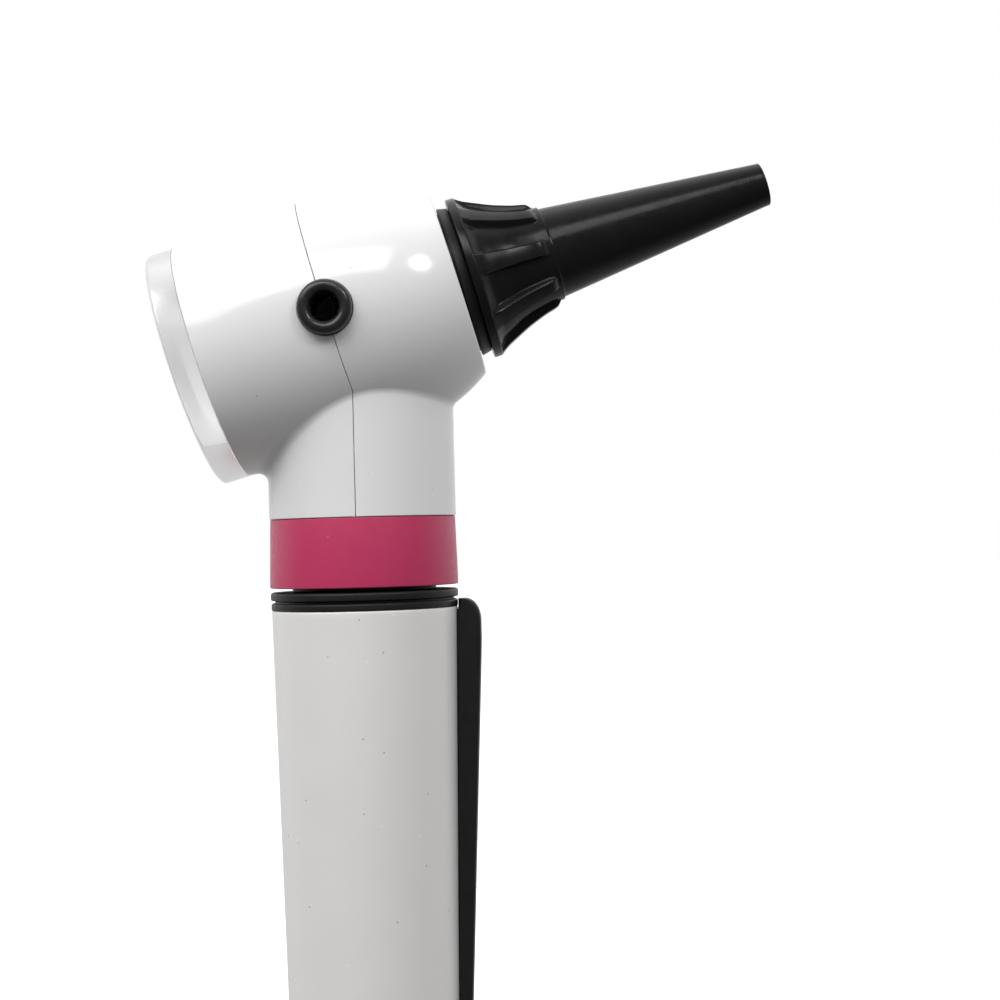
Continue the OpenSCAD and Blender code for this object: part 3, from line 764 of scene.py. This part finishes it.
def head_shell(name, rear):
    points, normals, faces = close_skin(*shell_skin(rear))
    return piece(name + "_skin", points * MM, faces, "head", "white_shell", [name], normals)


head_shell("head_shell_rear", True)
head_shell("head_shell_front", False)

# ---------------------------------------------------------------- handle


def handle_radius(depth):
    """The handle's outer radius at a depth below its rim."""
    grip_r, flare, flare_depth, blend = 8.22, 0.0193, 53.0, 6.0
    return grip_r + flare * blend * math.log1p(math.exp((flare_depth - depth) / blend))


def handle_tube():
    low, high = corners("handle_tube")
    bore_r, socket_r, socket_h, side_top = 7.5, 8.3, 7, 0.6
    depths = np.linspace(high[2] - low[2], side_top, 60)
    side = [(handle_radius(d), high[2] - d) for d in depths]
    top = rounded([
        (handle_radius(side_top), high[2] - side_top), (handle_radius(0), high[2], 0.16),
        (socket_r, high[2], 0.12), (socket_r, high[2] - socket_h),
    ])[1:]
    foot = [(bore_r, high[2] - socket_h), (bore_r, low[2])]
    return lathe("tube", side + top + foot, HANDLE, "handle", "lacquered_metal",
                 ["handle_tube"], 200)


def band(name, node, outer_low, outer_high, bore_r, body, slot):
    """A ring round the handle's axis. Each outer corner is a radius and its rounding."""
    low, high = corners(node)
    (low_r, low_edge), (high_r, high_edge) = outer_low, outer_high
    return lathe(name, rounded([
        (low_r, low[2], low_edge), (high_r, high[2], high_edge),
        (bore_r, high[2]), (bore_r, low[2]),
    ]), HANDLE, body, slot, [node], 200)


def turning_neck():
    """The switch rotor: flange, boss with its O-ring groove, and shaft with its circlip's."""
    low, high = corners("switch_rotor")
    flange_low, flange_high = RIM_Z + 0.97, RIM_Z + 1.77
    flange_r, boss_r, shaft_r, bore_r = 9.33, 7.15, 6.3, 4.52
    seal_r, seal_gap, circlip_r = 6.03, 0.05, 5.7
    seal_low, seal_high = (corner[2] for corner in corners("neck_seal"))
    clip_low, clip_high = (corner[2] for corner in corners("rotor_circlip"))
    return lathe("turning_neck", rounded([
        (bore_r, low[2]), (shaft_r, low[2], 0.3), (shaft_r, clip_low), (circlip_r, clip_low),
        (circlip_r, clip_high), (shaft_r, clip_high), (shaft_r, flange_low),
        (flange_r, flange_low, 0.14), (flange_r, flange_high, 0.25),
        (boss_r, flange_high, 0.15), (boss_r, seal_low - seal_gap, 0.1),
        (seal_r, seal_low - seal_gap), (seal_r, seal_high + seal_gap),
        (boss_r, seal_high + seal_gap, 0.1), (boss_r, high[2], 0.5), (bore_r, high[2], 0.2),
    ]), HANDLE, "rotor", "black_plastic", ["switch_rotor"], 200)


def pocket_clip():
    """The clip's arm: rounded sections up its length, closed at both ends."""
    low, high = corners("pocket_clip")
    half_width, outer_x = high[1], high[0] - 0.01
    collar_gap_x, tube_gap = 9.35, 0.025
    taper, taper_depth, flick = 0.0486, 3.5, 8.0
    corner_w, corner_h, edge_r, crown = 1.5, 2.15, 0.35, 0.12
    inner_flick, outer_flick, root_h = 0.55, 0.35, 0.3
    foot_cap, head_cap = 0.02, 0.01

    def section(z):
        """Inner and outer face, and half the width, at a height."""
        depth = RIM_Z - z
        outer = outer_x - taper * max(depth - taper_depth, 0)
        near_rim = min(max(depth / root_h, 0), 1)
        inner = (collar_gap_x * (1 - near_rim)
                 + (handle_radius(max(depth, 0)) + tube_gap) * near_rim)
        width = half_width
        rise = z - (high[2] - corner_h)
        if rise > 0:
            outer -= corner_w * (1 - math.sqrt(max(1 - (rise / corner_h) ** 2, 0)))
        drop = low[2] + half_width - z
        if drop > 0:
            width = math.sqrt(max(half_width**2 - drop**2, 0))
        lift = max(low[2] + flick - z, 0) / flick
        return inner + inner_flick * lift**1.6, outer + outer_flick * lift**2, width

    heights = np.concatenate([
        low[2] + half_width * (1 - np.cos(np.linspace(0.12, math.pi / 2, 14))),
        np.linspace(low[2] + half_width, high[2] - corner_h, 60)[1:-1],
        high[2] - corner_h + corner_h * np.sin(np.linspace(0, math.radians(86), 18)),
    ])
    rings = []
    for z in heights:
        inner, outer, width = section(z)
        r = min(edge_r, (outer - inner) * 0.42, width * 0.8)
        ring = []
        for x, y, start in ((outer - r, width - r, 0), (inner + r, width - r, 90),
                            (inner + r, r - width, 180), (outer - r, r - width, 270)):
            ring += arc((x, y), r, start, start + 90)
        ring += [(outer, y) for y in np.linspace(r - width, width - r, 9)[1:-1]]
        middle = (inner + outer) / 2
        rings.append([(x - crown * (y / half_width) ** 2 * (x > middle), y, z) for x, y in ring])
    columns = len(rings[0])
    faces = rings_to_faces(len(rings), columns, closed=False)
    points = [p for ring in rings for p in ring]
    points += [tuple(np.mean(rings[0], axis=0) - UP * foot_cap),
               tuple(np.mean(rings[-1], axis=0) + UP * head_cap)]
    last = (len(rings) - 1) * columns
    for j in range(columns):
        k = (j + 1) % columns
        faces.append((k, j, len(points) - 2))
        faces.append((last + j, last + k, len(points) - 1))
    return piece("clip_arm", place_points(points, HANDLE), faces, "clip", "black_plastic",
                 ["pocket_clip"], sharp=50)


def end_cap():
    """The screw cap, with grip flutes round its side."""
    high = corners("end_cap")[1]
    outer_r = high[0]
    cap_h, edge_r, floor_h = 4.0, 1.2, 1.5
    spigot_r, bore_r, seal_r, seal_low, seal_high = 7.45, 6.2, 6.42, 4.55, 5.65
    flutes, flute_depth, flute_steps = 28, 0.22, 10
    outline = rounded([
        (0, 0), (outer_r, 0, edge_r), (outer_r, cap_h, 0.25), (spigot_r, cap_h),
        (spigot_r, seal_low), (seal_r, seal_low), (seal_r, seal_high), (spigot_r, seal_high),
        (spigot_r, high[2], 0.3), (bore_r, high[2], 0.1), (bore_r, floor_h), (0, floor_h),
    ], 7)

    def fluted(r, z, angle):
        """The radius with the flutes cut in. They fade out towards the cap's two edges."""
        on_side = min(max((z - 0.5) / 0.5, 0), 1) * min(max((cap_h - 0.35 - z) / 0.3, 0), 1)
        depth = flute_depth * on_side if r > outer_r - 0.9 else 0
        return r - depth * max(0.0, math.cos(flutes * angle)) ** 0.7

    points, faces = turned(outline, flutes * flute_steps, fluted)
    return piece("cap", place_points(points, HANDLE), faces, "cap", "black_plastic", ["end_cap"],
                 sharp=40)


handle_tube()
band("pink_band", "colour_ring", (9.38, 0.14), (9.21, 0.12), 8.47, "head", "pink_ring")
band("clip_collar", "clip_ring", (9.28, 0.12), (9.28, 0.18), 8.3, "handle", "black_plastic")
turning_neck()
pocket_clip()
end_cap()

# ---------------------------------------------------------------- front of the head


def speculum_holder():
    """Stem, plate, groove and a nose that the speculum is pushed onto."""
    low, high = along_barrel("speculum_holder")
    stem_r, plate_r, groove_r = 7.0, 7.65, 7.1
    plate_s = along_barrel("speculum")[0] - 0.07
    nose = smooth_through([(6.9, 13.0), (6.35, 13.3), (5.94, 13.8), (5.55, 14.5), (5.05, 15.6),
                           (4.62, 16.8), (4.3, 18), (4.1, 19), (3.88, high)], 4)
    return lathe("holder", rounded([
        (stem_r, low), (stem_r, FRONT_S), (plate_r, FRONT_S, 0.1), (7.4, plate_s, 0.16),
        (groove_r, plate_s, 0.1), (groove_r, 12.9, 0.1),
    ]) + [tuple(p) for p in nose] + [(3.45, high), (5.1, low)],
        BARREL, "head", "black_plastic", ["speculum_holder"])


def speculum():
    """Flange, ribbed grip and long cone, over a bore that follows them."""
    low, high = along_barrel("speculum")
    flange_r, flange_top, neck_s, tip_r = 8.2, low + 0.85, low + 8.5, 2.16
    rib_count, rib_deg, wall_deg, ribs_start = 8, 20.0, 3.4, 12.6
    cone_r, cone_s, tip_s = 4.57, neck_s + 0.1, high - 0.2
    core = smooth_through([(7.75, flange_top + 0.08), (7.1, 13.3), (6.75, 13.8), (6.4, 14.5),
                           (5.85, 15.6), (5.42, 16.8), (5.12, 18), (4.92, 19), (4.8, 19.9)], 5)
    ribs = smooth_through([(8.12, 12.68), (7.82, 13.1), (7.47, 13.7), (6.87, 15), (6.42, 16),
                           (6.05, 17), (5.72, 18), (5.47, 19), (5.33, 19.4)], 5)
    rib_s = [p[1] for p in ribs] + [19.55, 19.8, 19.95]
    rib_r = [p[0] for p in ribs] + [5.2, 4.9, 4.7]
    foot = rounded([(7.15, low), (flange_r, low, 0.12), (flange_r, flange_top, 0.16),
                    (7.8, flange_top + 0.05)])
    cone = rounded([(4.8, 19.9), (4.78, neck_s, 0.08), (4.58, neck_s + 0.06, 0.05),
                    (tip_r, high, 0.1), (tip_r - 0.3, high, 0.12)], 4)
    straight = [(cone_r + (tip_r - cone_r) * t, cone_s + (high - 0.2 - neck_s - 0.1) * t)
                for t in np.linspace(0.01, 0.99, 30)]
    neck_part = [(r, s) for r, s in cone if 20.0 < s < neck_s + 0.09]
    tip_part = [(r, s) for r, s in cone if s > tip_s]
    bore = [(1.85, high - 0.15), (4.1, 20.2), (4.35, 19), (4.55, 18), (4.87, 16.8), (5.3, 15.6),
            (5.8, 14.5), (6.2, 13.8), (6.55, 13.35), (7.15, 12.95)]
    outline = foot + [tuple(p) for p in core] + neck_part + straight + tip_part + bore

    # Angles are closer together where a rib's side stands up
    half = math.radians(rib_deg / 2)
    wall = math.radians(wall_deg)
    pitch = 2 * math.pi / rib_count
    offsets = list(np.linspace(-half + wall, half - wall, 7))
    offsets += list(np.linspace(half - wall, half, 5)[1:])
    offsets += list(np.linspace(half, pitch - half, 12)[1:])
    offsets += list(np.linspace(pitch - half, pitch - half + wall, 5)[1:-1])
    angles = [pitch * i + a for i in range(rib_count) for a in offsets]

    def rib_share(angle):
        """1 on top of a rib, 0 between ribs, and smooth down its walls."""
        off = abs((angle + pitch / 2) % pitch - pitch / 2)
        t = min(max((half - off) / wall, 0), 1)
        return t * t * (3 - 2 * t)

    points, outer_count = [], len(foot) + len(core)
    for i, (r, s) in enumerate(outline):
        on_grip = len(foot) - 2 <= i < outer_count
        for a in angles:
            radius = r
            if on_grip and s > ribs_start:
                radius += max(float(np.interp(s, rib_s, rib_r)) - r, 0) * rib_share(a)
            points.append((radius * math.cos(a), radius * math.sin(a), s))
    faces = rings_to_faces(len(outline), len(angles))
    return piece("ear_speculum", place_points(points, BARREL), faces, "speculum", "speculum_black",
                 ["speculum"], sharp=38)


def port_grommet():
    """The insufflation port: a stem through the shell under a soft round lip."""
    bore_r, stem_r, lip_r = 1.4, 1.9, PORT_HIGH[0] - PORT[0]
    seat, lip_top = 12.17, -PORT_LOW[1]
    inner = -PORT_HIGH[1]
    place = (np.array([PORT[0], 0, PORT[2]]), np.array([1.0, 0, 0]), UP, -SIDE)
    return lathe("port_grommet", rounded([
        (bore_r, inner), (stem_r, inner), (stem_r, seat), (lip_r, seat), (lip_r, lip_top, 0.62),
        (bore_r, lip_top, 0.58),
    ], 8), place, "head", "port_rubber", ["insufflation_port"], 96)


speculum_holder()
speculum()
port_grommet()

# ---------------------------------------------------------------- magnifier


def magnifier():
    """The lens: a polished dome inside a ground rim with a rounded back edge."""
    back, front = along_barrel("lens")
    low, high = corners("lens")
    lens_r = (high[1] - low[1]) / 2
    rim_w, curve_r, recess = 2.3, 49.0, 0.1
    face_r = lens_r - rim_w
    step_r, rim_front = face_r + 1.2, REAR_S - 0.035
    dome = [(r, back + recess + curve_r - math.sqrt(curve_r**2 - r * r))
            for r in np.linspace(face_r, 0, 24)]
    rim = rounded([(step_r, front), (step_r, rim_front), (lens_r, rim_front, 0.06),
                   (lens_r, back, 0.45), (face_r + 0.25, back, 0.1), (face_r, dome[0][1])])
    obj = lathe("magnifier", [(0, front)] + rim + dome[1:], BARREL, "lens", "lens_clear",
                ["lens"], 192)
    obj.data.materials.append(MATERIALS["lens_edge"])
    for face in obj.data.polygons:
        middle = np.array(face.center) / MM - CROSSING
        face.material_index = int(np.linalg.norm(middle - (middle @ AXIS) * AXIS) > face_r)


magnifier()

# ---------------------------------------------------------------- floor, light and camera

LIGHT_DISTANCE = 0.8


def floor():
    """A pale floor, hidden from diffuse and glossy rays, so that it doesn't light the object."""
    reach, z = 6.0, CAD_BOX[0].z
    mesh = bpy.data.meshes.new("floor")
    mesh.from_pydata([(-reach, -reach, z), (reach, -reach, z), (reach, reach, z),
                      (-reach, reach, z)], [], [(0, 1, 2, 3)])
    obj = bpy.data.objects.new("floor", mesh)
    bpy.context.scene.collection.objects.link(obj)
    m = Material("pale_floor", (0.9, 0.9, 0.9), 0.7)
    m.tint(m.noise(60, 3), (0.885, 0.885, 0.885), (0.905, 0.905, 0.905))
    m.shader.inputs["Emission Color"].default_value = (1, 1, 1, 1)
    m.shader.inputs["Emission Strength"].default_value = 0.6
    mesh.materials.append(m.mat)
    obj.visible_diffuse = False
    obj.visible_glossy = False


def light(name, azimuth, elevation, width, height, strength, shape="RECTANGLE"):
    """A soft light seen from the head at an azimuth from the front (positive to the right) and an
    elevation, with its angular width and height, all in degrees. Its strength is its radiance."""
    az, el = math.radians(azimuth), math.radians(elevation)
    way = Vector((math.sin(az) * math.cos(el), -math.cos(az) * math.cos(el), math.sin(el)))
    data = bpy.data.lights.new(name, "AREA")
    data.shape = shape
    data.size = 2 * LIGHT_DISTANCE * math.tan(math.radians(width / 2))
    data.size_y = 2 * LIGHT_DISTANCE * math.tan(math.radians(height / 2))
    area = data.size * data.size_y if shape == "RECTANGLE" else math.pi / 4 * data.size**2
    data.energy = strength * area * math.pi
    obj = bpy.data.objects.new(name, data)
    bpy.context.scene.collection.objects.link(obj)
    obj.location = Vector((0, 0, CROSSING[2] * MM)) + way * LIGHT_DISTANCE
    obj.rotation_euler = way.to_track_quat("Z", "Y").to_euler()


def world():
    """White to the eye; as light, a bright wall behind the object and a darker room in front."""
    studio = bpy.data.worlds.new("studio")
    bpy.context.scene.world = studio
    studio.use_nodes = True
    tree = studio.node_tree
    nodes, links = tree.nodes, tree.links
    place = nodes.new("ShaderNodeTexCoord")
    axes = nodes.new("ShaderNodeSeparateXYZ")
    links.new(place.outputs["Generated"], axes.inputs["Vector"])

    def slope(axis, low, high, to_low, to_high):
        """A smooth step along a direction's axis."""
        node = nodes.new("ShaderNodeMapRange")
        node.interpolation_type = "SMOOTHSTEP"
        for key, value in zip(("From Min", "From Max", "To Min", "To Max"),
                              (low, high, to_low, to_high)):
            node.inputs[key].default_value = value
        links.new(axes.outputs[axis], node.inputs["Value"])
        return node.outputs["Result"]

    product = nodes.new("ShaderNodeMath")
    product.operation = "MULTIPLY"
    links.new(slope("Y", -0.35, 0.45, 0.22, 0.95), product.inputs[0])
    links.new(slope("Z", -0.5, 0.5, 0.55, 1.1), product.inputs[1])
    seen = nodes.new("ShaderNodeLightPath")
    strength = nodes.new("ShaderNodeMath")
    strength.operation = "MAXIMUM"
    links.new(seen.outputs["Is Camera Ray"], strength.inputs[0])
    links.new(product.outputs["Value"], strength.inputs[1])
    links.new(strength.outputs["Value"], nodes["Background"].inputs["Strength"])
    nodes["Background"].inputs["Color"].default_value = (1, 1, 1, 1)


def camera():
    """To the right of the handle, looking square at its side and slightly up, with a small roll.
    Millimetres from the handle's axis and above its rim."""
    right, distance, height, aim_height = 13.749, 185.0, 6.7, 10.411
    roll = math.radians(-1.51)
    data = bpy.data.cameras.new("camera")
    data.lens = 66.6
    data.clip_start = 0.01
    obj = bpy.data.objects.new("camera", data)
    bpy.context.scene.collection.objects.link(obj)
    obj.location = Vector((right, -distance, RIM_Z + height)) * MM
    look = Vector((0, distance, aim_height - height)).to_track_quat("-Z", "Y").to_matrix()
    obj.rotation_euler = (look @ Matrix.Rotation(roll, 3, "Z")).to_euler()
    bpy.context.scene.camera = obj


floor()
world()
camera()
light("left_box", -48, 40, 42, 32, 4.3)
light("front_box", -4, 42, 34, 22, 5.5)
light("overhead", 0, 95, 60, 50, 0.45)
light("round", 41, 33, 14, 14, 16, "DISK")
bpy.context.scene.view_settings.view_transform = "Standard"
